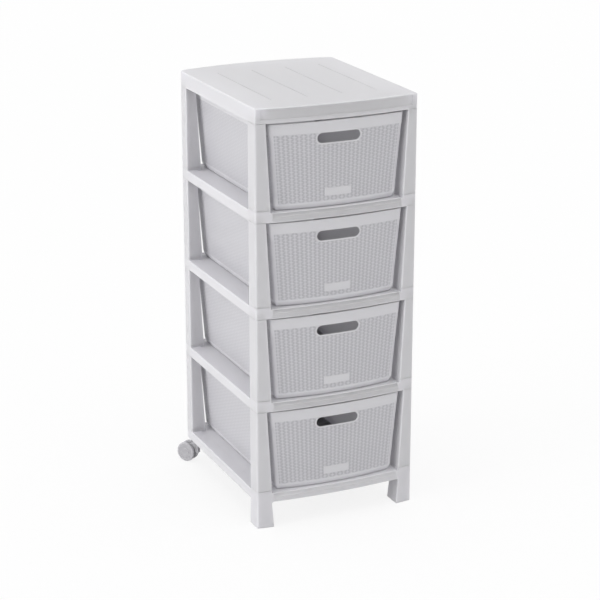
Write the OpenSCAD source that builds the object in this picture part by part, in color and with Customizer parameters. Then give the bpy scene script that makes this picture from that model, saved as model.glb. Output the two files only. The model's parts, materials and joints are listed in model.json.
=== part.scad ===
// Drawer tower: a free-standing frame of moulded plastic with pull-out drawers.
// Each shelf carries four hollow tapered posts, which plug into it at the foot
// and into the next shelf at the head. Two legs are moulded onto the lowest
// shelf at the front, and two swivelling twin-wheel castors plug into it at
// the rear. Each drawer slides on the sunk runway of its shelf.
// X is the width, -Y is the front and +Z is up. The floor is at Z = 0.

/* [Frame] */
// Number of drawers, one above the other
tiers = 4; // [2:1:5]
// Gap between a drawer's rim and the heads of the posts beside it
rim_gap = 8.5; // [6:0.5:20]
// Gap between a drawer's rim and the shelf above it
head_gap = 3.5; // [2:0.5:20]
// Distance from the frame's rear corners forwards to a drawer's rim
back_gap = 1; // [0:1:30]
// How far the middle of the front stands out past its corners
front_bow = 12; // [8:1:18]
// How far the middle of the back stands out past its corners
rear_bow = 20; // [20:1:30]
// Radius of the two front corners in plan
front_corner_r = 4; // [2:0.5:6]
// Radius of the two rear corners in plan
rear_corner_r = 12; // [8:1:16]

/* [Heights] */
// Height of the lowest shelf above the floor
leg_h = 54; // [52:1:80]
// Height of a shelf's edge
shelf_h = 20; // [19:1:28]
// Height of the top panel's edge
top_h = 30; // [24:1:40]

/* [Walls] */
// Thickness of the edges of the shelves and the top panel
skirt_t = 2.5; // [2:0.1:3.5]
// Thickness of the plates of the shelves and the top panel
plate_t = 2.5; // [2:0.1:3.5]
// Thickness of the ribs under the plates
rib_t = 1.8; // [1.2:0.1:3]

/* [Edges] */
// Height of the bead along the lower edge of the top panel's front
fascia_bead_h = 8; // [5:1:12]
// Height of the lip along the upper edge of the top panel's front
fascia_lip_h = 3; // [2:0.5:6]
// Distance from the side to the sunk field in the top panel's front
fascia_side = 12; // [8:1:18]
// Depth of the sunk fields in the front edges
field_deep = 0.8; // [0.4:0.1:1.2]
// Height of the bead along the lower edge of a shelf's front
rail_bead_h = 2.5; // [2:0.5:4]
// Height of the sloping lip along the upper edge of a shelf's front
rail_lip_h = 8; // [5:0.5:9]
// How far that lip slopes back
rail_lip_back = 3; // [1:0.5:4]
// Width of the grooves in the top
groove_w = 2.5; // [1:0.5:5]
// Depth of the grooves in the top
groove_deep = 0.8; // [0.4:0.1:1.2]
// Distance between the grooves in the top
groove_pitch = 74; // [50:1:76]
// Distance of the grooves' ends from the front and rear corners
groove_end = 58; // [30:1:90]

/* [Posts] */
// Depth of a post along the side
post_d = 33.5; // [28:0.5:42]
// Width of a post at its foot
post_foot_w = 30.5; // [27:0.5:33]
// Width of a post at its head
post_head_w = 21; // [19:0.5:26]
// Wall of a post
post_wall = 2.5; // [2:0.1:3]
// Width of the bevel on a post's edge next to the drawer, at the foot
post_bevel = 2; // [1:0.5:5]
// Height of the seat of a post above the shelf
seat_h = 4; // [3:0.5:8]
// Length of the plugs that join posts and shelves
plug_l = 12; // [8:1:12]
// Wall of the plugs
plug_wall = 2; // [1.5:0.1:2.5]
// Gap round a plug in its socket
plug_gap = 0.15; // [0.1:0.05:0.3]
// Margin round a post's head inside the top panel's blocks
block_wall = 3.5; // [2.5:0.5:6]

/* [Runways] */
// How far a runway is sunk below the shelf's edge
runway_drop = 1.8; // [1:0.1:2.5]
// Width of the raised border beside a runway
runway_side = 21; // [20:1:29]
// Gap between a drawer's rim and the raised border behind its runway
runway_rear = 5; // [3:1:6]
// Radius of a runway's rear corners
runway_r = 15; // [5:1:20]

/* [Legs] */
// Width of a front leg at the top
leg_head_w = 30; // [27:0.5:31]
// Width of a front leg at the floor
leg_foot_w = 34.5; // [32:0.5:40]
// How much deeper a front leg is at the floor than a post
leg_foot_out = 3; // [1:0.5:6]
// Thickness of a front leg's sole
sole_t = 3; // [2:0.5:6]
// Radius between a front leg and the shelf's edge
leg_fillet = 5; // [2:0.5:8]

/* [Drawers] */
// Width of a drawer at its rim
drawer_rim_w = 281; // [250:1:340]
// Height of a drawer
drawer_h = 169.5; // [150:0.5:220]
// Length of a drawer's side at the rim
drawer_d = 385; // [340:1:440]
// How far a drawer's front stands behind the frame's front
drawer_in = 2; // [1:0.5:6]
// How much further in each side of a drawer is at the foot than at the rim
side_lean = 14; // [8:1:22]
// How much further in a drawer's front is at the foot than at the rim
front_lean = 6; // [2:0.5:8]
// How much further in a drawer's back is at the foot than at the rim
rear_lean = 1; // [0.5:0.5:8]
// Radius of a drawer's upright edges
drawer_r = 6; // [4:1:18]
// Height of the plain foot strip, which slopes in below the weave
foot_h = 11; // [6:0.5:16]
// How far the foot strip slopes in
foot_in = 4; // [2:0.5:6]
// Thickness of a drawer's walls behind the weave
drawer_wall = 2.2; // [1.6:0.1:3]
// Thickness of a drawer's floor
drawer_floor = 2.5; // [2:0.1:4]
// Gap between a drawer and its runway
drawer_gap = 0.3; // [0.2:0.05:0.4]
// Height of the plain band round a drawer's rim
band_h = 22; // [12:0.5:24]
// How far the band and the plate stand out from the weave
band_out = 0.8; // [0.4:0.1:1.2]

/* [Handles] */
// Length of the finger slot
slot_l = 90; // [70:1:120]
// Height of the finger slot
slot_h = 20; // [18:0.5:26]
// Distance from the rim to the middle of the finger slot
slot_down = 33; // [30:0.5:40]
// Width of the rim round the finger slot
slot_rim = 2.5; // [1.5:0.5:4]
// Length of the plain plate low on a drawer's front
plate_l = 55; // [40:1:80]
// Height of that plate
plate_h = 15; // [10:0.5:20]
// Distance from a drawer's foot to the middle of that plate
plate_up = 30; // [20:0.5:40]

/* [Castors] */
// Diameter of a castor's wheels
wheel_d = 42; // [38:1:44]
// Thickness of a wheel
wheel_t = 6.5; // [6:0.5:10]
// Size of the bevel on a wheel's edges
wheel_bevel = 1.5; // [0.5:0.1:2]
// Width of the rim round a wheel's sunk face
wheel_rim = 4; // [2:0.5:6]
// Depth of a wheel's sunk face
wheel_dish = 0.8; // [0.4:0.1:1.2]
// Radius of the cap in the middle of a wheel
wheel_cap_r = 7; // [4:0.5:9]
// Thickness of the body between the wheels
fork_t = 9; // [9:0.5:12]
// How far the body between the wheels stays inside their rims
fork_in = 6; // [3:0.5:8]
// Wall of that body beside the stem
neck_wall = 3; // [2:0.5:4]
// Thickness of the collar on top of that body
collar_t = 3; // [2:0.1:5]
// Height of the collar's underside above the wheels
collar_up = 1.5; // [1:0.1:2.5]
// Distance from the stem to the axle, level with the floor
trail = 22; // [16:0.5:22]
// Angle by which the castors are turned outwards from straight back
castor_turn = 35; // [0:5:60]
// Diameter of the stem
stem_d = 7; // [5:0.5:7]
// Length of the stem inside the shelf
stem_up = 14; // [8:0.5:14]
// Distance from the axle's height up to the foot of the stem
stem_foot = 4; // [3:0.5:8]
// Wall of the sleeve that the stem turns in
sleeve_wall = 4; // [3:0.5:5]
// Diameter of the axle
axle_d = 5; // [4:0.5:6]
// Distance from the frame's side to the stem
castor_side = 13.5; // [13:0.5:17]
// Distance from the rear corners forwards to the stem
castor_rear = 22; // [17:0.5:22]
// Gap round a turning pin
run_gap = 0.05; // [0.03:0.01:0.08]
// Gap between faces that turn past each other
face_gap = 0.3; // [0.2:0.05:0.5]

/* [Hidden] */
$fn = 96;
// the wide bows need more steps than the small rounds
bow_fn = 720;
// a little more, so that a cut runs clear of the face it leaves
cut = 1;
// thickness of the slices that a drawer's form is stretched between
slice = 0.01;
plastic = "#c9c9ce";
plastic_dark = "#b9b9bf";
steel = "#9a9ca0";

// the frame is built round the drawers
frame_w = drawer_rim_w + 2 * (rim_gap + post_head_w);
side_d = drawer_in + drawer_d + back_gap;
bay_h = drawer_gap + drawer_h + head_gap - runway_drop;

half_w = frame_w / 2;
pitch = shelf_h + bay_h;
post_h = bay_h - seat_h;
post_slope = (post_foot_w - post_head_w) / post_h;
top_z = leg_h + tiers * pitch;

// castor sizes along and across its own trail
wheel_r = wheel_d / 2;
collar_z = wheel_d + collar_up;
castor_top = collar_z + collar_t;
stem_z = wheel_r + stem_foot;
neck_r = stem_d / 2 + neck_wall;
castor_half = fork_t / 2 + face_gap + wheel_t;
axle_l = 2 * (castor_half - 2 * wheel_bevel);
castor_reach = max(
    (trail + wheel_r) * cos(castor_turn) + (castor_half - wheel_bevel) * sin(castor_turn),
    (trail + wheel_r - wheel_bevel) * cos(castor_turn) + castor_half * sin(castor_turn)
);

// the frame's corners stand so that the whole tower is centred on Y = 0
rear_over = max(rear_bow, castor_reach - castor_rear);
y_front = -(side_d + rear_over - front_bow) / 2;
y_rear = y_front + side_d;

// the bows are arcs through the corners
front_arc_r = (half_w * half_w + front_bow * front_bow) / (2 * front_bow);
rear_arc_r = (half_w * half_w + rear_bow * rear_bow) / (2 * rear_bow);
front_arc_y = y_front - front_bow + front_arc_r;
rear_arc_y = y_rear + rear_bow - rear_arc_r;

plug_in = post_wall + plug_gap;
plug_hollow = plug_in + plug_wall;
shoulder_t = 3;
socket_l = plug_l + cut;
seat_hollow = 5;
least_r = 0.5;
sides = [-1, 1];
side_names = ["left", "right"];

function shelf_z(tier) = leg_h + (tier - 1) * pitch;
function seat_z(tier) = shelf_z(tier) + shelf_h + seat_h;
function shelf_name(tier) = tier == 1 ? "base_shelf" : str("shelf_", tier);
function post_name(end, side, tier) = str("post_", end, "_", side_names[side], "_", tier);
function castor_name(side, piece) = str("castor_", side_names[side], "_", piece);

castor_pieces = ["fork", "stem", "axle", "wheel_outer", "wheel_inner"];

// ---------------------------------------------------------------- plan outline

// One rounded corner of the plan outline. The corner between the side and the
// bow is cut away back to a small circle that touches them both.
// side is -1 or 1, end is -1 at the front and 1 at the rear.
module corner_cut(inset, side, end, arc_r, arc_y, corner_r) {
    r = max(corner_r - inset, least_r);
    x = half_w - inset - r;
    reach = arc_r - inset;
    y = arc_y + end * sqrt(pow(reach - r, 2) - x * x);
    touch_x = x * reach / (reach - r);
    touch_y = arc_y + (y - arc_y) * reach / (reach - r);
    out = 1 + cut / r;
    far = [x + (touch_x - x) * out, y + (touch_y - y) * out];
    side_x = half_w - inset + cut;
    difference() {
        polygon([
            [side * x, y],
            [side * side_x, y],
            [side * side_x, far[1]],
            [side * far[0], far[1]]
        ]);
        translate([side * x, y]) circle(r = r);
    }
}

// The frame's outline in plan, moved in by inset.
module outline(inset) {
    difference() {
        intersection() {
            translate([0, front_arc_y]) circle(r = front_arc_r - inset, $fn = bow_fn);
            translate([0, rear_arc_y]) circle(r = rear_arc_r - inset, $fn = bow_fn);
            square([frame_w - 2 * inset, 2 * side_d], center = true);
        }
        for (side = sides) {
            corner_cut(inset, side, -1, front_arc_r, front_arc_y, front_corner_r);
            corner_cut(inset, side, 1, rear_arc_r, rear_arc_y, rear_corner_r);
        }
    }
}

module outline_slab(inset, z_low, z_high) {
    translate([0, 0, z_low]) linear_extrude(z_high - z_low) outline(inset);
}

// ---------------------------------------------------------------- posts

// The tapered column that posts, their seats, plugs and sockets are cut from,
// moved in by inset. Height 0 is a post's foot. It stands at the left; the
// right one is its mirror image.
module left_column(inset, end, z_low, z_high) {
    edge = -half_w + post_foot_w - inset;
    depth = post_d + max(front_bow, rear_bow);
    back = end < 0 ? y_front + post_d - inset : y_rear - post_d + inset + depth;
    bevel = max(post_bevel - (2 - sqrt(2)) * inset, least_r);
    arc_r = end < 0 ? front_arc_r : rear_arc_r;
    arc_y = end < 0 ? front_arc_y : rear_arc_y;
    face_y = arc_y + end * (sqrt(pow(arc_r, 2) - pow(edge + inset, 2)) - inset);
    difference() {
        intersection() {
            outline_slab(inset, z_low, z_high);
            translate([0, back, 0]) rotate([90, 0, 0]) linear_extrude(depth) polygon([
                [-half_w - cut, z_low - cut],
                [edge - post_slope * (z_low - cut), z_low - cut],
                [edge - post_slope * (z_high + cut), z_high + cut],
                [-half_w - cut, z_high + cut]
            ]);
        }
        // bevel between the outer face and the face next to the drawer
        translate([edge, face_y, 0])
            rotate([0, -atan(post_slope), 0])
                rotate([0, 0, 45])
                    cube([bevel * sqrt(2), bevel * sqrt(2), 4 * bay_h], center = true);
    }
}

module column(inset, side, end, z_low, z_high) {
    if (side < 0) left_column(inset, end, z_low, z_high);
    else mirror([1, 0, 0]) left_column(inset, end, z_low, z_high);
}

// A hollow post, open at the foot, with a plug at its head.
module post(side, end, tier) {
    color(plastic) translate([0, 0, seat_z(tier)]) difference() {
        union() {
            column(0, side, end, 0, post_h);
            column(plug_in, side, end, post_h - cut, post_h + plug_l);
        }
        column(post_wall, side, end, -cut, post_h - shoulder_t);
        column(plug_hollow, side, end, post_h - shoulder_t - cut, post_h + plug_l + cut);
    }
}

// Sockets for the heads of the posts of one tier.
module head_sockets(tier) {
    for (side = sides, end = [-1, 1])
        translate([0, 0, seat_z(tier)])
            column(post_wall, side, end, post_h - cut, post_h + socket_l);
}

// ---------------------------------------------------------------- plates and ribs

// Ribs under a plate, from z_low up to z_high, inside the edge.
module ribs(z_low, z_high) {
    along = frame_w / 5;
    across = side_d / 5;
    intersection() {
        outline_slab(skirt_t / 2, z_low, z_high);
        union() {
            for (i = [-1:1])
                translate([i * along - rib_t / 2, -side_d, z_low])
                    cube([rib_t, 2 * side_d, z_high - z_low]);
            for (i = [-1:1])
                translate([-half_w, (y_front + y_rear) / 2 + i * across - rib_t / 2, z_low])
                    cube([frame_w, rib_t, z_high - z_low]);
        }
    }
}

// The band of the front face between z_low and z_high, within half_l of the
// middle, that is cut away to make a sunk field.
module front_field(half_l, z_low, z_high) {
    difference() {
        translate([-half_l, y_front - front_bow - cut, z_low])
            cube([2 * half_l, 2 * front_bow, z_high - z_low]);
        outline_slab(field_deep, z_low - cut, z_high + cut);
    }
}

// The wedge that is cut off a front edge to make a sloping lip.
module front_slope(half_l, z_low, z_high, back) {
    over = back * cut / (z_high - z_low);
    intersection() {
        translate([-half_l, y_front - 2 * front_bow, z_low])
            cube([2 * half_l, 3 * front_bow, z_high - z_low + cut]);
        translate([0, front_arc_y, 0]) rotate_extrude($fn = bow_fn) polygon([
            [front_arc_r, z_low],
            [front_arc_r + cut, z_low],
            [front_arc_r + cut, z_high + cut],
            [front_arc_r - back - over, z_high + cut]
        ]);
    }
}

// The sunk runway in a shelf's top, open at the front.
module runway() {
    runway_half = half_w - runway_side;
    runway_end = y_front + drawer_in + drawer_d + runway_rear;
    translate([0, 0, shelf_h - runway_drop]) linear_extrude(runway_drop + cut) {
        translate([-runway_half, y_front - 2 * front_bow])
            square([2 * runway_half, runway_end - runway_r - y_front + 2 * front_bow]);
        translate([-runway_half + runway_r, y_front])
            square([2 * (runway_half - runway_r), runway_end - y_front]);
        for (side = sides)
            translate([side * (runway_half - runway_r), runway_end - runway_r])
                circle(r = runway_r);
    }
}

// A shelf's tray by itself, standing on Z = 0.
module tray() {
    plate_high = shelf_h - runway_drop;
    plate_low = plate_high - plate_t;
    rail_half = half_w - post_foot_w - 2 * post_bevel;
    difference() {
        outline_slab(0, 0, shelf_h);
        outline_slab(skirt_t, -cut, plate_low);
        runway();
        front_field(rail_half, rail_bead_h, plate_high - rail_lip_h);
        front_slope(rail_half, plate_high - rail_lip_h, plate_high, rail_lip_back);
    }
    ribs(rib_t, plate_low + plate_t / 2);
}

// The four seats with the plugs that enter the feet of the posts above.
module seats(tier) {
    for (side = sides, end = [-1, 1]) translate([0, 0, seat_z(tier)]) {
        column(0, side, end, -shelf_h - seat_h, 0);
        column(plug_in, side, end, -cut, plug_l);
    }
}

// ---------------------------------------------------------------- legs and castor sockets

// A front leg, with its outer faces flush with the frame's.
module leg(side) {
    depth = post_d + front_bow;
    intersection() {
        outline_slab(0, 0, leg_h + cut);
        translate([0, y_front + post_d + leg_foot_out, 0]) rotate([90, 0, 0])
            linear_extrude(depth + leg_foot_out) polygon([
                [side * (half_w + cut), 0],
                [side * (half_w - leg_foot_w), 0],
                [side * (half_w - leg_head_w), leg_h],
                [side * (half_w - leg_head_w), leg_h + cut],
                [side * (half_w + cut), leg_h + cut]
            ]);
        rotate([90, 0, 90]) translate([0, 0, -half_w]) linear_extrude(frame_w) polygon([
            [y_front - 2 * front_bow, 0],
            [y_front + post_d + leg_foot_out, 0],
            [y_front + post_d, leg_h],
            [y_front + post_d, leg_h + cut],
            [y_front - 2 * front_bow, leg_h + cut]
        ]);
    }
}

// Rounded corner between a leg and the front edge of the shelf.
module leg_corner(side) {
    edge = half_w - leg_head_w;
    intersection() {
        difference() {
            outline_slab(0, leg_h - leg_fillet, leg_h + cut);
            outline_slab(skirt_t, leg_h - leg_fillet - cut, leg_h + 2 * cut);
        }
        translate([0, y_front + post_d, 0]) rotate([90, 0, 0]) linear_extrude(post_d + front_bow)
            difference() {
                translate([side * edge - leg_fillet, leg_h - leg_fillet])
                    square([2 * leg_fillet, leg_fillet + cut]);
                translate([side * (edge - leg_fillet), leg_h - leg_fillet])
                    circle(r = leg_fillet);
            }
    }
}

module at_castor(side) {
    translate([side * (half_w - castor_side), y_rear - castor_rear, 0])
        rotate([0, 0, -side * castor_turn]) children();
}

// ---------------------------------------------------------------- shelves and top

module shelf(tier) {
    color(plastic) difference() {
        union() {
            translate([0, 0, shelf_z(tier)]) tray();
            seats(tier);
        }
        head_sockets(tier - 1);
        for (side = sides, end = [-1, 1])
            translate([0, 0, seat_z(tier)])
                column(plug_hollow, side, end, -seat_hollow, plug_l + cut);
    }
}

module base_shelf() {
    sleeve_low = castor_top + face_gap;
    sleeve_r = stem_d / 2 + sleeve_wall;
    color(plastic) difference() {
        union() {
            translate([0, 0, leg_h]) tray();
            seats(1);
            for (side = sides) {
                leg(side);
                leg_corner(side);
                at_castor(side) translate([0, 0, sleeve_low])
                    cylinder(r = sleeve_r, h = leg_h - sleeve_low + cut);
            }
        }
        for (side = sides) {
            // the front plugs are hollow right down to the legs' soles
            translate([0, 0, seat_z(1)])
                column(plug_hollow, side, -1, sole_t - seat_z(1), plug_l + cut);
            translate([0, 0, seat_z(1)])
                column(plug_hollow, side, 1, -seat_hollow, plug_l + cut);
            at_castor(side) translate([0, 0, sleeve_low - cut])
                cylinder(r = stem_d / 2 + run_gap, h = leg_h + stem_up - sleeve_low + 2 * cut);
        }
    }
}

module top_panel() {
    block = [post_head_w + block_wall, post_d + block_wall];
    grooves = 4;
    color(plastic) translate([0, 0, top_z]) difference() {
        union() {
            difference() {
                outline_slab(0, 0, top_h);
                outline_slab(skirt_t, -cut, top_h - plate_t);
                front_field(half_w - fascia_side, fascia_bead_h, top_h - fascia_lip_h);
            }
            ribs(top_h / 2, top_h - plate_t / 2);
            // blocks that hold the sockets for the heads of the posts
            intersection() {
                outline_slab(skirt_t / 2, 0, top_h - plate_t / 2);
                for (side = sides, y = [y_front - front_bow, y_rear - block[1]])
                    translate([side > 0 ? half_w - block[0] : -half_w, y, 0])
                        cube([block[0], block[1] + front_bow + rear_bow, top_h]);
            }
        }
        translate([0, 0, -top_z]) head_sockets(tiers);
        for (i = [0:grooves - 1])
            translate([(i - (grooves - 1) / 2) * groove_pitch - groove_w / 2,
                       y_front + groove_end, top_h - groove_deep])
                cube([groove_w, side_d - 2 * groove_end, groove_deep + cut]);
    }
}

// ---------------------------------------------------------------- drawers

function arc(middle, r, from, to, steps) = [
    for (i = [0:steps])
        let (a = from + (to - from) * i / steps)
            [middle[0] + r * cos(a), middle[1] + r * sin(a)]
];

// A drawer's outline in plan: a bowed front between round corners.
function drawer_outline(half, front, rear, r) =
    let (
        bow_r = (half * half + front_bow * front_bow) / (2 * front_bow),
        bow_y = front - front_bow + bow_r,
        x = half - r,
        y = bow_y - sqrt(pow(bow_r - r, 2) - x * x),
        touch = atan2(bow_y - y, x),
        small_steps = 8,
        bow_steps = 16
    )
    concat(
        arc([-x, y], r, 180, 180 + touch, small_steps),
        arc([0, bow_y], bow_r, 180 + touch, 360 - touch, bow_steps),
        arc([x, y], r, 360 - touch, 360, small_steps),
        arc([x, rear - r], r, 0, 90, small_steps),
        arc([-x, rear - r], r, 90, 180, small_steps)
    );

// A thin slice of a drawer's form at height z, moved out by out.
module drawer_slice(out, z) {
    down = 1 - z / drawer_h;
    half = drawer_rim_w / 2 - down * side_lean;
    front = y_front + drawer_in + down * front_lean;
    rear = y_front + drawer_in + drawer_d - down * rear_lean;
    r = max(drawer_r + out, least_r);
    translate([0, 0, z]) linear_extrude(slice)
        polygon(drawer_outline(half + out, front - out, rear + out, r));
}

module drawer_form(out, z_low, z_high) {
    hull() {
        drawer_slice(out, z_low);
        drawer_slice(out, z_high - slice);
    }
}

// The form behind the weave with the foot strip, moved in by inset.
module drawer_body(inset, z_low, z_high) {
    hull() {
        drawer_slice(-band_out - inset - foot_in, z_low);
        drawer_slice(-band_out - inset, z_low + foot_h);
        drawer_slice(-band_out - inset, z_high - slice);
    }
}

// A bar with round ends, along X, cut through the front wall only.
module slot_bar(length, height) {
    translate([0, y_front + post_d, 0]) rotate([90, 0, 0]) linear_extrude(2 * post_d) {
        square([length - height, height], center = true);
        for (side = sides)
            translate([side * (length - height) / 2, 0]) circle(d = height);
    }
}

module drawer(tier) {
    slot_z = drawer_h - slot_down;
    color(plastic_dark)
        translate([0, 0, shelf_z(tier) + shelf_h - runway_drop + drawer_gap]) difference() {
            union() {
                drawer_body(0, 0, drawer_h);
                drawer_form(0, drawer_h - band_h, drawer_h);
                // rim round the finger slot and plain plate, on the front only
                intersection() {
                    drawer_form(0, 0, drawer_h);
                    union() {
                        translate([0, 0, slot_z])
                            slot_bar(slot_l + 2 * slot_rim, slot_h + 2 * slot_rim);
                        translate([-plate_l / 2, y_front - post_d, plate_up - plate_h / 2])
                            cube([plate_l, 2 * post_d, plate_h]);
                    }
                }
            }
            drawer_body(drawer_wall, drawer_floor, drawer_h + cut);
            translate([0, 0, slot_z]) slot_bar(slot_l, slot_h);
        }
}

// ---------------------------------------------------------------- castors
// A castor's own frame has its stem on Z and its trail along +Y.

module along_axle() {
    translate([0, trail, wheel_r]) rotate([0, 90, 0]) children();
}

module castor_fork(side) {
    hub_r = wheel_r - fork_in;
    hub_low = stem_z - neck_wall;
    color(plastic) at_castor(side) difference() {
        union() {
            rotate([90, 0, 90]) translate([0, 0, -fork_t / 2]) linear_extrude(fork_t) {
                translate([trail, wheel_r]) circle(r = hub_r);
                polygon([
                    [-neck_r, hub_low],
                    [-neck_r, collar_z + cut],
                    [neck_r, collar_z + cut],
                    [trail, wheel_r + hub_r],
                    [trail, hub_low]
                ]);
            }
            translate([0, 0, collar_z]) cylinder(r = neck_r + cut, h = collar_t);
        }
        translate([0, 0, stem_z]) cylinder(d = stem_d, h = castor_top);
        along_axle() cylinder(d = axle_d, h = 2 * fork_t, center = true);
    }
}

module castor_stem(side) {
    color(steel) at_castor(side)
        translate([0, 0, stem_z]) cylinder(d = stem_d, h = leg_h + stem_up - stem_z);
}

module castor_axle(side) {
    color(steel) at_castor(side) along_axle() cylinder(d = axle_d, h = axle_l, center = true);
}

// A wheel; out is 1 for the one that faces outwards and -1 for the other.
module castor_wheel(side, out) {
    dish_r = wheel_r - wheel_rim;
    bore_l = axle_l / 2 - fork_t / 2;
    color(plastic) at_castor(side) translate([0, trail, wheel_r])
        rotate([0, side * out * 90, 0]) translate([0, 0, fork_t / 2 + face_gap]) difference() {
            rotate_extrude() polygon([
                [0, 0],
                [wheel_r - wheel_bevel, 0],
                [wheel_r, wheel_bevel],
                [wheel_r, wheel_t - wheel_bevel],
                [wheel_r - wheel_bevel, wheel_t],
                [dish_r, wheel_t],
                [dish_r - wheel_dish, wheel_t - wheel_dish],
                [wheel_cap_r + wheel_dish, wheel_t - wheel_dish],
                [wheel_cap_r, wheel_t],
                [0, wheel_t]
            ]);
            translate([0, 0, -cut]) cylinder(r = axle_d / 2 + run_gap, h = bore_l + cut);
        }
}

// ---------------------------------------------------------------- the parts

top_panel();
base_shelf();
for (tier = [2:tiers])
    shelf(tier);
for (side = [0, 1], tier = [1:tiers]) {
    post(sides[side], -1, tier);
    post(sides[side], 1, tier);
}
for (tier = [1:tiers])
    drawer(tier);
for (side = [0, 1]) {
    castor_fork(sides[side]);
    castor_stem(sides[side]);
    castor_axle(sides[side]);
    castor_wheel(sides[side], 1);
    castor_wheel(sides[side], -1);
}
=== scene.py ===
"""A drawer tower of moulded polypropylene: frame, woven-look drawers and castors.

The frame's own solids are copied, merged and given softly rounded edges. The
weave on the drawers, their plain corner strips and foot strips and the fine
beads on them are modelled here, on the form that the drawers have in the
frame, and joined to it, so that each drawer stays one moulding.
"""
import json
import math

import bmesh
import bpy
from mathutils import Matrix, Vector


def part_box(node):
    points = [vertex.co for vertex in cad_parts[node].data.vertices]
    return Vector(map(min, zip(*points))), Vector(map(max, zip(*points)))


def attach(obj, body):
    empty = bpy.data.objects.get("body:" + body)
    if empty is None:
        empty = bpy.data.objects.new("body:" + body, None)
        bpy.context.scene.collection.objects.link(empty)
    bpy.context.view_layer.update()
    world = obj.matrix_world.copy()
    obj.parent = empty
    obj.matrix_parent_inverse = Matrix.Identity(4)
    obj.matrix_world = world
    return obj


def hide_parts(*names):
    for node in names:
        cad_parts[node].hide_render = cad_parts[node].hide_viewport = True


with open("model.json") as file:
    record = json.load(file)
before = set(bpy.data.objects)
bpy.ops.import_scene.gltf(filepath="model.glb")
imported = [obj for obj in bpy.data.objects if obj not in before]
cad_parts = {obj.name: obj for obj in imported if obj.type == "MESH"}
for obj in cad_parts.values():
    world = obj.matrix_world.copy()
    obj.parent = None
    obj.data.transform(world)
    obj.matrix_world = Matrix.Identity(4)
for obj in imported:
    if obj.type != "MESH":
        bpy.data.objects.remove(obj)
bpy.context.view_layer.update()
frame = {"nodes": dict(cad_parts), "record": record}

MM = 0.001

# ---------------------------------------------------------------- sizes, in mm

# points closer together than this are the same point
SAME = 0.001
# shorter edges of the frame's meshes are closed up before the rounding
SHORTEST = 0.03
# edges that turn by more degrees than this get rounded
SHARP = 28
# a floor's radius in metres, and how far it lies below the feet
FLOOR_R = 14
FLOOR_DOWN = 0.0002

# a drawer's form, as in the frame
RIM_HALF = 140.5
SIDE_LEAN = 14.0
FRONT_LEAN = 6.0
REAR_LEAN = 1.0
DRAWER_H = 169.5
CORNER_R = 6.0
FRONT_BOW = 12.0
FOOT_H = 11.0
FOOT_IN = 4.0
BAND_LOW = 147.5
RECESS = 0.8
DRAWER_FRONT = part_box("drawer_1")[0].y / MM + FRONT_BOW
DRAWER_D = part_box("drawer_1")[1].y / MM - DRAWER_FRONT
SLOT_HALF = 35.0
SLOT_R = 10.0
SLOT_RIM = 2.5
SLOT_UP = 136.5
# from the end of the slot's straight part to where its rim runs into the band
NOOK_OUT = math.sqrt((SLOT_R + SLOT_RIM) ** 2 - (BAND_LOW - SLOT_UP) ** 2)
PLATE_HALF = 27.5
PLATE_LOW = 22.5
PLATE_HIGH = 37.5

# the weave: upright stakes, and weavers that run over and under them
STAKE_PITCH = 8.75
WEAVER_PITCH = 3.6
WEAVE_LOW = 12.0
FRONT_STEPS = (6, 4)
SIDE_STEPS = (4, 3)
SWING = 0.24
WEAVER_T = 0.46
STAKE_T = 0.58
THINNEST = 0.04

# the skins that are laid on the drawer's walls reach this far into them
BURIED = -0.5
BACK = -1.1

# the weave on the sides and the rear is shallower than the front's
SIDE_MEAN = 0.5
SIDE_SHARE = 0.5

# the plain strips along the corners and the foot
STRIP_SIDE = 2.0
STRIP_T = 0.62
FOOT_T = 0.7
STRIP_ROUND = 1.2

# the fine beads round the plate and the slot and along the band
BEAD_W = 1.4
BEAD_T = 0.35
BEAD_FOOT = 0.1
BEAD_BACK = -0.7

# ---------------------------------------------------------------- materials


def linear(code):
    """Turns an sRGB hex colour into linear RGBA."""
    channels = [int(code[i:i + 2], 16) / 255 for i in (0, 2, 4)]
    bent = [c / 12.92 if c <= 0.04045 else ((c + 0.055) / 1.055) ** 2.4 for c in channels]
    return bent + [1.0]


def add(tree, kind, inputs=None, **settings):
    """Adds a node with its settings, and links or sets its inputs."""
    node = tree.nodes.new("ShaderNode" + kind)
    for name, value in settings.items():
        setattr(node, name, value)
    for name, value in (inputs or {}).items():
        if isinstance(value, bpy.types.NodeSocket):
            tree.links.new(value, node.inputs[name])
        else:
            node.inputs[name].default_value = value
    return node


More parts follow.
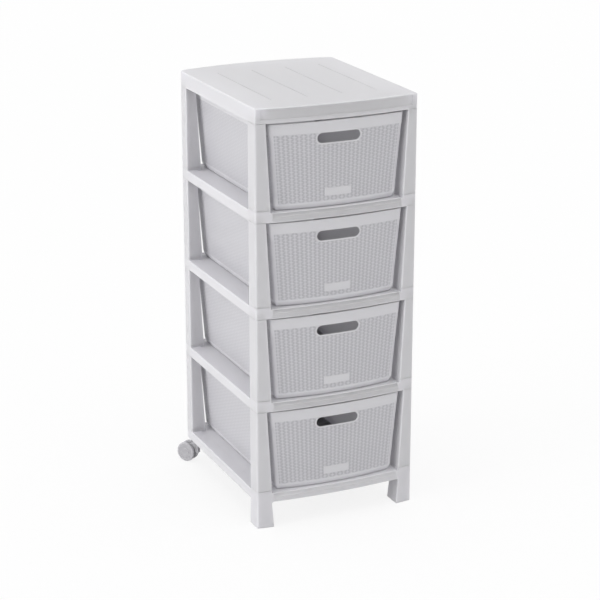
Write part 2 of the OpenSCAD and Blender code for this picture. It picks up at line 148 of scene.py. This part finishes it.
def polypropylene(name, colour, deep, smooth, rough, grain, groove_shade=None):
    """Moulded polypropylene: a satin, slightly waxy plastic that lets light in.

    The mould's spark-eroded grain is about 0.2 mm in the real one and is drawn
    at 1.4 mm so that it shows. The colour drifts a little where the melt
    flowed, over about 90 mm. Light spreads about 9 mm under the skin, so that
    some of it passes through the thin walls and lights the drawers' insides.
    The last argument gives the colour that the grooves of a woven relief are darkened to: painted
    shade, standing in for the light that the hollows lose.
    """
    material = bpy.data.materials.new(name)
    material.use_nodes = True
    tree = material.node_tree
    tree.nodes.clear()
    place = add(tree, "TexCoord").outputs["Object"]
    flow = add(tree, "TexNoise", {"Vector": place, "Scale": 1 / (90 * MM), "Detail": 4.0,
                                  "Roughness": 0.55})
    tone = add(tree, "Mix", {0: flow.outputs["Fac"], 6: linear(deep), 7: linear(colour)},
               data_type="RGBA")
    tint = tone.outputs[2]
    pits = add(tree, "TexNoise", {"Vector": place, "Scale": 1 / (1.4 * MM), "Detail": 2.0,
                                  "Roughness": 0.6})
    height = pits.outputs["Fac"]
    if groove_shade:
        # painted shade: the weave's grooves are darkened by how deep they lie
        depth = add(tree, "Attribute", attribute_name="groove").outputs["Fac"]
        tint = add(tree, "Mix", {0: depth, 6: tint, 7: linear(groove_shade)},
                   data_type="RGBA").outputs[2]
        # strands: fine lines along each weaver, about 0.8 mm apart
        along = add(tree, "Mapping", {"Vector": place, "Scale": (120, 120, 1250)})
        strand = add(tree, "TexNoise", {"Vector": along.outputs["Vector"], "Scale": 1.0,
                                        "Detail": 2.0, "Roughness": 0.5})
        height = add(tree, "Math", {0: height, 1: strand.outputs["Fac"]},
                     operation="ADD").outputs["Value"]
    finish = add(tree, "MapRange", {"Value": flow.outputs["Fac"], "From Min": 0.3,
                                    "From Max": 0.7, "To Min": smooth, "To Max": rough})
    bump = add(tree, "Bump", {"Height": height, "Strength": 0.35, "Distance": grain * MM})
    skin = add(tree, "BsdfPrincipled", {"Base Color": tint, "IOR": 1.49,
                                        "Roughness": finish.outputs["Result"],
                                        "Subsurface Weight": 1.0,
                                        "Subsurface Radius": (1.0, 1.0, 1.0),
                                        "Subsurface Scale": 9 * MM,
                                        "Normal": bump.outputs["Normal"]})
    add(tree, "OutputMaterial", {"Surface": skin.outputs["BSDF"]})
    return material


def zinc_steel(name):
    """Zinc-plated steel pin: bright, with fine turning lines about 0.5 mm apart."""
    material = bpy.data.materials.new(name)
    material.use_nodes = True
    tree = material.node_tree
    tree.nodes.clear()
    place = add(tree, "TexCoord").outputs["Object"]
    stretch = add(tree, "Mapping", {"Vector": place, "Scale": (300, 300, 2000)})
    lines = add(tree, "TexNoise", {"Vector": stretch.outputs["Vector"], "Scale": 1.0,
                                   "Detail": 3.0})
    tone = add(tree, "Mix", {0: lines.outputs["Fac"], 6: linear("a9acb0"),
                             7: linear("c9cccf")}, data_type="RGBA")
    finish = add(tree, "MapRange", {"Value": lines.outputs["Fac"], "To Min": 0.24,
                                    "To Max": 0.42})
    bump = add(tree, "Bump", {"Height": lines.outputs["Fac"], "Strength": 0.2,
                              "Distance": 0.02 * MM})
    skin = add(tree, "BsdfPrincipled", {"Base Color": tone.outputs[2], "Metallic": 1.0,
                                        "Roughness": finish.outputs["Result"],
                                        "Normal": bump.outputs["Normal"]})
    add(tree, "OutputMaterial", {"Surface": skin.outputs["BSDF"]})
    return material


FRAME_PLASTIC = polypropylene("moulded_polypropylene_frame", "d9d8dc", "d5d4d8", 0.50, 0.60, 0.03)
# the drawer's weave gets painted shade in its grooves, a darker grey
DRAWER_PLASTIC = polypropylene("moulded_polypropylene_drawer", "dfdee2", "dad9de", 0.42, 0.52,
                               0.03, groove_shade="a6a5ab")
CASTOR_PLASTIC = polypropylene("moulded_polypropylene_castor", "bfbec1", "b8b7bb", 0.20, 0.28,
                               0.01)
STEEL = zinc_steel("zinc_plated_steel")

# ---------------------------------------------------------------- pieces


def keep(bm, name, material, slot, body, *nodes):
    """Turns a bmesh into a piece that rides on a body and stands for some nodes."""
    mesh = bpy.data.meshes.new(name)
    bm.to_mesh(mesh)
    bm.free()
    mesh.materials.append(material)
    mesh.shade_smooth()
    piece = bpy.data.objects.new(name, mesh)
    bpy.context.scene.collection.objects.link(piece)
    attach(piece, body)
    if nodes:
        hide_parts(*nodes)
    return piece


def again(piece, name, up, body, node):
    """Another piece of the same shape for another node, further up."""
    mesh = piece.data.copy()
    mesh.transform(Matrix.Translation((0, 0, up)))
    copy = bpy.data.objects.new(name, mesh)
    bpy.context.scene.collection.objects.link(copy)
    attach(copy, body)
    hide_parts(node)
    return copy


def merged(node):
    """A copy of a node's mesh as a bmesh, with its loose triangles merged into faces."""
    bm = bmesh.new()
    bm.from_mesh(frame["nodes"][node].data)
    bmesh.ops.remove_doubles(bm, verts=bm.verts, dist=SAME * MM)
    short = [edge for edge in bm.edges if edge.calc_length() < SHORTEST * MM]
    bmesh.ops.collapse(bm, edges=short)
    bmesh.ops.dissolve_limit(bm, angle_limit=math.radians(0.4), verts=bm.verts,
                             edges=bm.edges, delimit={"NORMAL"})
    return bm


def soften(piece, width):
    """Rounds the piece's marked edges as a mould does."""
    bevel = piece.modifiers.new("rounded_edges", "BEVEL")
    bevel.width = width * MM
    bevel.segments = 2
    bevel.limit_method = "WEIGHT"
    bevel.use_clamp_overlap = False


def even_out(piece):
    """Keeps the shading of flat faces flat beside rounded edges."""
    even = piece.modifiers.new("even_shading", "WEIGHTED_NORMAL")
    even.mode = "FACE_AREA"
    even.weight = 60


def mark_sharp(bm, leave=None):
    """Marks the edges that get rounded; leave says which points stay as they are."""
    weight = bm.edges.layers.float.new("bevel_weight_edge")
    for edge in bm.edges:
        if not edge.is_manifold or edge.calc_face_angle(0.0) < math.radians(SHARP):
            continue
        if leave and any(leave(vert.co / MM) for vert in edge.verts):
            continue
        edge[weight] = 1.0


def moulding(node, material, slot, body, width):
    bm = merged(node)
    mark_sharp(bm)
    piece = keep(bm, node + "_moulded", material, slot, body, node)
    soften(piece, width)
    even_out(piece)


body_of = {}
for body, members in frame["record"]["behaviour"]["bodies"].items():
    for member in members:
        body_of[member] = body

for node in frame["nodes"]:
    body = body_of[node]
    if node.endswith(("_stem", "_axle")):
        moulding(node, STEEL, "castor_steel", body, 0.4)
    elif node.startswith("castor"):
        moulding(node, CASTOR_PLASTIC, "castor_plastic", body, 0.5)
    elif node == "top_panel":
        bm = merged(node)
        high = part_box(node)[1].z - 0.05 * MM
        edges = []
        for edge in bm.edges:
            if min(vert.co.z for vert in edge.verts) < high or not edge.is_manifold:
                continue
            reach = min(vert.co.z for face in edge.link_faces for vert in face.verts)
            if reach < high - 2 * MM:
                edges.append(edge)
        bmesh.ops.bevel(bm, geom=edges, offset=2 * MM, affect="EDGES", segments=4,
                        profile=0.5, material=-1)
        mark_sharp(bm)
        piece = keep(bm, node + "_moulded", FRAME_PLASTIC, "frame_plastic", body, node)
        soften(piece, 0.5)
        even_out(piece)
    elif not node.startswith("drawer"):
        moulding(node, FRAME_PLASTIC, "frame_plastic", body, 0.5)

# ---------------------------------------------------------------- the drawers' form


def drawer_sizes(up):
    """Half width, front and rear of a drawer's form at a height above its foot."""
    down = 1 - up / DRAWER_H
    half = RIM_HALF - down * SIDE_LEAN
    front = DRAWER_FRONT + down * FRONT_LEAN
    rear = DRAWER_FRONT + DRAWER_D - down * REAR_LEAN
    return half, front, rear


def bow(half, front):
    """Radius of the bowed front, and where its middle is."""
    radius = (half * half + FRONT_BOW * FRONT_BOW) / (2 * FRONT_BOW)
    return radius, front - FRONT_BOW + radius


def front_corner(half, front, r=CORNER_R):
    """Middle of a front corner's round, and the angle at which it meets the bow."""
    radius, middle = bow(half, front)
    x = half - r
    y = middle - math.sqrt((radius - r) ** 2 - x * x)
    return x, y, math.atan2(middle - y, x)


def on_bow(x, radius, middle, out):
    """Point of the bowed front at x, moved out by out."""
    reach = (radius + out) / radius
    return x * reach, middle - math.sqrt(radius * radius - x * x) * reach


def front_point(share, up, out):
    """Point of the front; share runs from -1 to 1 between the corner strips."""
    half, front, rear = drawer_sizes(up)
    radius, middle = bow(half, front)
    touch = radius * math.cos(front_corner(half, front)[2])
    x, y = on_bow(share * (touch - STRIP_SIDE), radius, middle, out - RECESS)
    return Vector((x, y, up))


def plain_front(x, up, out):
    """Point of the front's plain parts, which stand out from the weave."""
    half, front, rear = drawer_sizes(up)
    radius, middle = bow(half, front)
    x, y = on_bow(x, radius, middle, out)
    return Vector((x, y, up))


def side_point(share, up, out):
    """Point of the right side; share runs from -1 at the front to 1 at the rear."""
    half, front, rear = drawer_sizes(up)
    low = front_corner(half, front)[1] + STRIP_SIDE
    high = rear - CORNER_R - STRIP_SIDE
    y = (low + high) / 2 + share * (high - low) / 2
    return Vector((half - RECESS + out, y, up))


def rear_point(share, up, out):
    half, front, rear = drawer_sizes(up)
    x = share * (half - CORNER_R - STRIP_SIDE)
    return Vector((x, rear - RECESS + out, up))


def corner_point(end):
    """Points of the plain strip down a right-hand corner; end is -1 at the front.

    Up to -1 they run along the side, in mm, then round the corner to 1, and
    from there on along the front or the rear, in mm again.
    """
    def point(place, up, out):
        half, front, rear = drawer_sizes(up)
        x, y, full = front_corner(half, front)
        if end > 0:
            y = rear - CORNER_R
            full = math.pi / 2
        if place < -1:
            return Vector((half - RECESS + out, y - end * (-1 - place), up))
        if place <= 1:
            angle = full * (place + 1) / 2
            r = CORNER_R - RECESS + out
            return Vector((x + r * math.cos(angle), y + end * r * math.sin(angle), up))
        if end > 0:
            return Vector((x - (place - 1), rear - RECESS + out, up))
        radius, middle = bow(half, front)
        x, y = on_bow(radius * math.cos(full) - (place - 1), radius, middle, out - RECESS)
        return Vector((x, y, up))
    return point


def drawer_outline(up, out):
    """The drawer's outline in plan at a height, moved out by out."""
    half, front, rear = drawer_sizes(up)
    half += out
    front -= out
    rear += out
    r = CORNER_R + out
    radius, middle = bow(half, front)
    x, y, touch = front_corner(half, front, r)
    turn = math.pi
    points = arc(-x, y, r, turn, turn + touch, 10)
    points += arc(0, middle, radius, turn + touch, 2 * turn - touch, 24)[1:-1]
    points += arc(x, y, r, 2 * turn - touch, 2 * turn, 10)
    points += arc(x, rear - r, r, 0, turn / 2, 10)
    points += arc(-x, rear - r, r, turn / 2, turn, 10)
    return points


def arc(middle_x, middle_y, radius, start, end, steps):
    angles = [start + (end - start) * i / steps for i in range(steps + 1)]
    return [(middle_x + radius * math.cos(a), middle_y + radius * math.sin(a)) for a in angles]


# ---------------------------------------------------------------- skins on the drawers


def spread(low, high, steps):
    """Even places from low to high."""
    return [low + (high - low) * i / steps for i in range(steps + 1)]


def skin(across, ups, point, relief, cut=None):
    """A closed skin on one face of a drawer.

    Its front is a grid over the places across and the heights, which stands
    out by the relief. Its back lies inside the drawer's wall. cut says where
    both are left out.
    """
    bm = bmesh.new()
    groove = bm.verts.layers.float.new("groove")
    wide = len(across) - 1
    tall = len(ups) - 1
    rims = []
    level = []
    for depth in (None, BACK):
        verts = bmesh.ops.create_grid(bm, x_segments=wide, y_segments=tall, size=0.5)["verts"]
        spots = {}
        for vert in verts:
            i = round((vert.co.x + 0.5) * wide)
            j = round((vert.co.y + 0.5) * tall)
            spots[vert] = (across[i], ups[j])
        if cut:
            made = {face for vert in verts for face in vert.link_faces}
            gone = []
            for face in made:
                corners = [spots[vert] for vert in face.verts]
                middle = [sum(values) / len(corners) for values in zip(*corners)]
                if cut(*middle):
                    gone.append(face)
            bmesh.ops.delete(bm, geom=gone, context="FACES")
            verts = [vert for vert in verts if vert.is_valid]
        edges = {edge for vert in verts for edge in vert.link_edges}
        rims += [edge for edge in edges if edge.is_boundary]
        if depth is not None:
            level = [edge for edge in edges if not edge.is_boundary
                     and spots[edge.verts[0]][1] == spots[edge.verts[1]][1]]
        for vert in verts:
            place, up = spots[vert]
            out = relief(place, up) if depth is None else depth
            vert.co = point(place, up, out) * MM
            # how deep a point lies below the full form; the drawer's material paints shade in the
            # grooves by it
            vert[groove] = max(0.0, 1 - out / RECESS)
    bmesh.ops.bridge_loops(bm, edges=rims)
    bmesh.ops.dissolve_edges(bm, edges=level, use_verts=True)
    return outward(bm)


def outward(bm):
    """Turns the faces of closed shells outwards."""
    bmesh.ops.recalc_face_normals(bm, faces=bm.faces)
    if bm.calc_volume(signed=True) < 0:
        bmesh.ops.reverse_faces(bm, faces=bm.faces)
    return bm


def weave_height(column, row):
    """Height of the weave over the wall; stakes stand at whole columns plus a half."""
    number = math.floor(row)
    over = row - number - 0.5
    side = column - math.floor(column) - 0.5
    wave = math.cos(math.pi * (column - 0.5)) * (-1) ** number
    weaver = SWING * wave + WEAVER_T * math.sqrt(max(0.0, 1 - 0.9 * (2 * over) ** 2))
    stake = STAKE_T * math.sqrt(max(0.0, 1 - (side / 0.28) ** 2))
    return max(weaver, stake, THINNEST)


def slot_distance(x, up):
    return math.hypot(max(abs(x) - SLOT_HALF, 0), up - SLOT_UP)


def under_trim(x, up):
    """Whether the front's weave is under the rim of the slot or the plate."""
    if slot_distance(x, up) < SLOT_R + SLOT_RIM:
        return True
    return abs(x) < PLATE_HALF and PLATE_LOW < up < PLATE_HIGH


def woven_skin(point, length, front=False):
    """The weave on one face of a drawer, about length wide. The front's is the deepest."""
    wide, tall = FRONT_STEPS if front else SIDE_STEPS
    columns = 2 * round((length / STAKE_PITCH - 1) / 2) + 1
    rows = round((BAND_LOW - WEAVE_LOW) / WEAVER_PITCH)
    row_h = (BAND_LOW - WEAVE_LOW) / rows
    across = [(i - 1) / wide for i in range(columns * wide + 3)]
    ups = [(i - 1) / tall for i in range(rows * tall + 3)]

    def place(column, row, out):
        return point(2 * column / columns - 1, WEAVE_LOW + row * row_h, out)

    def relief(column, row):
        if not (0 <= column <= columns and 0 <= row <= rows):
            return BURIED
        if front:
            spot = place(column, row, 0)
            if under_trim(spot.x, spot.z):
                return BURIED
            return weave_height(column, row)
        return SIDE_MEAN + SIDE_SHARE * (weave_height(column, row) - SIDE_MEAN)

    def open_slot(column, row):
        spot = place(column, row, 0)
        above = abs(spot.x) < SLOT_HALF and spot.z > SLOT_UP
        return above or slot_distance(spot.x, spot.z) < SLOT_R + SLOT_RIM / 2

    return skin(across, ups, place, relief, open_slot if front else None)


def rounded(inside, height):
    """Height of a strip at a distance inside its edge, with the edge rounded."""
    if inside <= 0:
        return BURIED
    near = max(0.0, 1 - inside / STRIP_ROUND)
    return height * math.sqrt(1 - near * near)


def corner_strip(end):
    """The plain strip down a drawer's right-hand front or rear corner."""
    edge = [-0.2, 0.0, 0.1, 0.3, 0.7, STRIP_ROUND]
    reach = 1 + STRIP_SIDE + 0.4
    across = [-reach + place for place in edge]
    across += spread(-1, 1, 10)
    across += [reach - place for place in reversed(edge)]
    ups = spread(FOOT_H, BAND_LOW + 0.4, 8)

    def relief(place, up):
        return rounded(reach - abs(place), STRIP_T)

    return skin(across, ups, corner_point(end), relief)


def belt(profile, outline):
    """A closed ring, made from a grid whose ends are merged both ways.

    Its profile is places with heights; outline gives the points there.
    """
    bm = bmesh.new()
    rings = [outline(place, out) for place, out in profile]
    around = len(rings[0])
    along = len(rings)
    verts = bmesh.ops.create_grid(bm, x_segments=around, y_segments=along, size=0.5)["verts"]
    for vert in verts:
        i = round((vert.co.x + 0.5) * around) % around
        j = round((vert.co.y + 0.5) * along) % along
        vert.co = Vector(rings[j][i]) * MM
    bmesh.ops.remove_doubles(bm, verts=bm.verts, dist=SAME * MM)
    return outward(bm)


def foot_strip():
    """The plain strip round a drawer's foot, below the weave."""
    low = 1.2
    high = WEAVE_LOW + 0.4
    edge = [0.0, 0.1, 0.3, 0.7, STRIP_ROUND]
    profile = [(low, BACK)]
    profile += [(low + inside, rounded(inside + 0.01, FOOT_T)) for inside in edge]
    profile += [(FOOT_H - 1, FOOT_T)]
    profile += [(high - inside, rounded(inside + 0.01, FOOT_T)) for inside in reversed(edge)]
    profile += [(high, BACK)]

    def outline(up, out):
        slope = FOOT_IN * max(0.0, 1 - up / FOOT_H)
        return [(x, y, up) for x, y in drawer_outline(up, out - RECESS - slope)]

    return belt(profile, outline)


def bead_height(share):
    """Height of a fine round bead at a share of its width, over the face it lies on."""
    across = 2 * share - 1
    return -BEAD_FOOT + (BEAD_FOOT + BEAD_T) * math.sqrt(max(0.0, 1 - across * across))


def bead_profile(start):
    profile = [(start, BEAD_BACK)]
    profile += [(start + share * BEAD_W, bead_height(share)) for share in spread(0, 1, 8)]
    return profile + [(start + BEAD_W, BEAD_BACK)]


def band_bead():
    """The fine bead along the lower edge of the band round a drawer's rim."""
    def outline(up, out):
        return [(x, y, up) for x, y in drawer_outline(up, out)]

    return belt(bead_profile(BAND_LOW + 0.15), outline)


def slot_bead():
    """The fine bead round the finger slot."""
    def outline(inside, out):
        r = SLOT_R + inside
        spots = []
        for end, start in ((1, -90), (-1, 90)):
            for i in range(17):
                angle = math.radians(start + 180 * i / 16)
                x = end * SLOT_HALF + r * math.cos(angle)
                up = SLOT_UP + r * math.sin(angle)
                spots.append(plain_front(x, up, out))
        return spots

    return belt(bead_profile(0.6), outline)


def plate_bead():
    """The fine bead round the plain plate on a drawer's front."""
    half = PLATE_HALF - 0.1
    low = PLATE_LOW + 0.1
    high = PLATE_HIGH - 0.1

    def outline(inside, out):
        x = half - inside
        spots = [plain_front(-x + 2 * x * i / 12, low + inside, out) for i in range(12)]
        spots += [plain_front(x, up, out) for up in spread(low + inside, high - inside, 2)[:2]]
        spots += [plain_front(x - 2 * x * i / 12, high - inside, out) for i in range(12)]
        spots += [plain_front(-x, up, out) for up in spread(high - inside, low + inside, 2)[:2]]
        return spots

    return belt(bead_profile(0.0), outline)


def mirrored(bm):
    """The same shape on the other side of the drawer."""
    bmesh.ops.scale(bm, vec=(-1, 1, 1), verts=bm.verts)
    return outward(bm)


def united(piece, shapes):
    """The piece's mesh with closed shapes joined on, as one solid; the piece goes."""
    helpers = []
    for bm in shapes:
        mesh = bpy.data.meshes.new("shape")
        bm.to_mesh(mesh)
        bm.free()
        helper = bpy.data.objects.new("shape", mesh)
        bpy.context.scene.collection.objects.link(helper)
        union = piece.modifiers.new("union", "BOOLEAN")
        union.operation = "UNION"
        union.solver = "MANIFOLD"
        union.object = helper
        helpers.append(helper)
    ready = piece.evaluated_get(bpy.context.evaluated_depsgraph_get())
    bm = bmesh.new()
    bm.from_mesh(ready.to_mesh())
    ready.to_mesh_clear()
    for helper in helpers + [piece]:
        bpy.data.objects.remove(helper)
    return bm


def plain_drawer(node):
    """A drawer as the frame has it, with its edges rounded."""
    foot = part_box(node)[0].z / MM

    def beside_slot(spot):
        """The sharp nooks where the rim round the slot runs into the band."""
        across = abs(spot.x) - SLOT_HALF - NOOK_OUT
        return spot.y < 0 and math.hypot(across, spot.z - foot - BAND_LOW) < 1.5

    bm = merged(node)
    mark_sharp(bm, beside_slot)
    mesh = bpy.data.meshes.new("plain_drawer")
    bm.to_mesh(mesh)
    bm.free()
    piece = bpy.data.objects.new("plain_drawer", mesh)
    bpy.context.scene.collection.objects.link(piece)
    soften(piece, 0.35)
    return piece


half, front, rear = drawer_sizes(DRAWER_H / 2)
wide = 2 * (half - CORNER_R)
deep = rear - front - 2 * CORNER_R
drawers = sorted(node for node in frame["nodes"] if node.startswith("drawer_"))
first_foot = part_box(drawers[0])[0].z
shapes = [woven_skin(front_point, wide, front=True), woven_skin(side_point, deep),
          mirrored(woven_skin(side_point, deep)), woven_skin(rear_point, wide),
          corner_strip(-1), corner_strip(1), mirrored(corner_strip(-1)),
          mirrored(corner_strip(1)), foot_strip(), band_bead(), slot_bead(), plate_bead()]
for shape in shapes:
    bmesh.ops.translate(shape, vec=(0, 0, first_foot), verts=shape.verts)
woven = united(plain_drawer(drawers[0]), shapes)
drawer = keep(woven, drawers[0] + "_moulded", DRAWER_PLASTIC, "drawer_plastic",
              body_of[drawers[0]], drawers[0])
even_out(drawer)
for node in drawers[1:]:
    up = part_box(node)[0].z - first_foot
    even_out(again(drawer, node + "_moulded", up, body_of[node], node))

# ---------------------------------------------------------------- floor, light and camera


def studio_floor():
    bm = bmesh.new()
    bmesh.ops.create_circle(bm, cap_ends=True, radius=FLOOR_R, segments=96)
    bmesh.ops.translate(bm, vec=(0, 0, -FLOOR_DOWN), verts=bm.verts)
    mesh = bpy.data.meshes.new("studio_floor")
    bm.to_mesh(mesh)
    bm.free()
    floor = bpy.data.objects.new("studio_floor", mesh)
    bpy.context.scene.collection.objects.link(floor)
    material = bpy.data.materials.new("matt_white_floor_paint")
    material.use_nodes = True
    tree = material.node_tree
    tree.nodes.clear()
    # most of what the camera sees is plain white, so that the shadow stays light
    path = add(tree, "LightPath")
    share = add(tree, "Math", {0: path.outputs["Is Camera Ray"], 1: 0.84}, operation="MULTIPLY")
    paint = add(tree, "BsdfPrincipled", {"Base Color": linear("fcfcfc"), "Roughness": 0.9,
                                         "Specular IOR Level": 0.1})
    white = add(tree, "Emission", {"Color": linear("ffffff"), "Strength": 1.0})
    both = add(tree, "MixShader", {0: share.outputs["Value"], 1: paint.outputs["BSDF"],
                                   2: white.outputs["Emission"]})
    add(tree, "OutputMaterial", {"Surface": both.outputs["Shader"]})
    mesh.materials.append(material)


def studio_world():
    world = bpy.data.worlds.new("studio_world")
    bpy.context.scene.world = world
    world.use_nodes = True
    tree = world.node_tree
    tree.nodes.clear()
    path = add(tree, "LightPath")
    seen = add(tree, "Math", {0: path.outputs["Is Camera Ray"], 1: path.outputs["Is Glossy Ray"]},
               operation="MAXIMUM")
    seen = add(tree, "Math", {0: seen.outputs["Value"], 1: path.outputs["Is Transmission Ray"]},
               operation="MAXIMUM")
    light = add(tree, "Background", {"Color": linear("ffffff"), "Strength": 0.66})
    shown = add(tree, "Background", {"Color": linear("ffffff"), "Strength": 1.0})
    both = add(tree, "MixShader", {0: seen.outputs["Value"], 1: light.outputs["Background"],
                                   2: shown.outputs["Background"]})
    add(tree, "OutputWorld", {"Surface": both.outputs["Shader"]})


def soft_lamp(name, towards, strength, angle):
    """A wide, far softbox: a sun lamp with a large disc."""
    data = bpy.data.lights.new(name, "SUN")
    data.energy = strength
    data.angle = math.radians(angle)
    lamp = bpy.data.objects.new(name, data)
    lamp.rotation_euler = (-Vector(towards)).to_track_quat("-Z", "Y").to_euler()
    lamp.location = Vector(towards) * 3
    bpy.context.scene.collection.objects.link(lamp)


def camera_at(place, yaw, pitch, lens):
    data = bpy.data.cameras.new("camera")
    data.lens = lens
    data.sensor_width = 36
    camera = bpy.data.objects.new("camera", data)
    camera.location = place
    ahead = Vector((math.sin(yaw) * math.cos(pitch), math.cos(yaw) * math.cos(pitch),
                    -math.sin(pitch)))
    camera.rotation_euler = ahead.to_track_quat("-Z", "Y").to_euler()
    bpy.context.scene.collection.objects.link(camera)
    bpy.context.scene.camera = camera


studio_floor()
studio_world()
soft_lamp("left_softbox", (-0.98, -0.06, 0.14), 1.26, 40)
soft_lamp("top_softbox", (0.0, -0.12, 0.99), 0.80, 60)
camera_at((-1.5220, -3.4065, 1.6380), 0.4230, 0.3215, 115.5)
bpy.context.scene.view_settings.view_transform = "Standard"
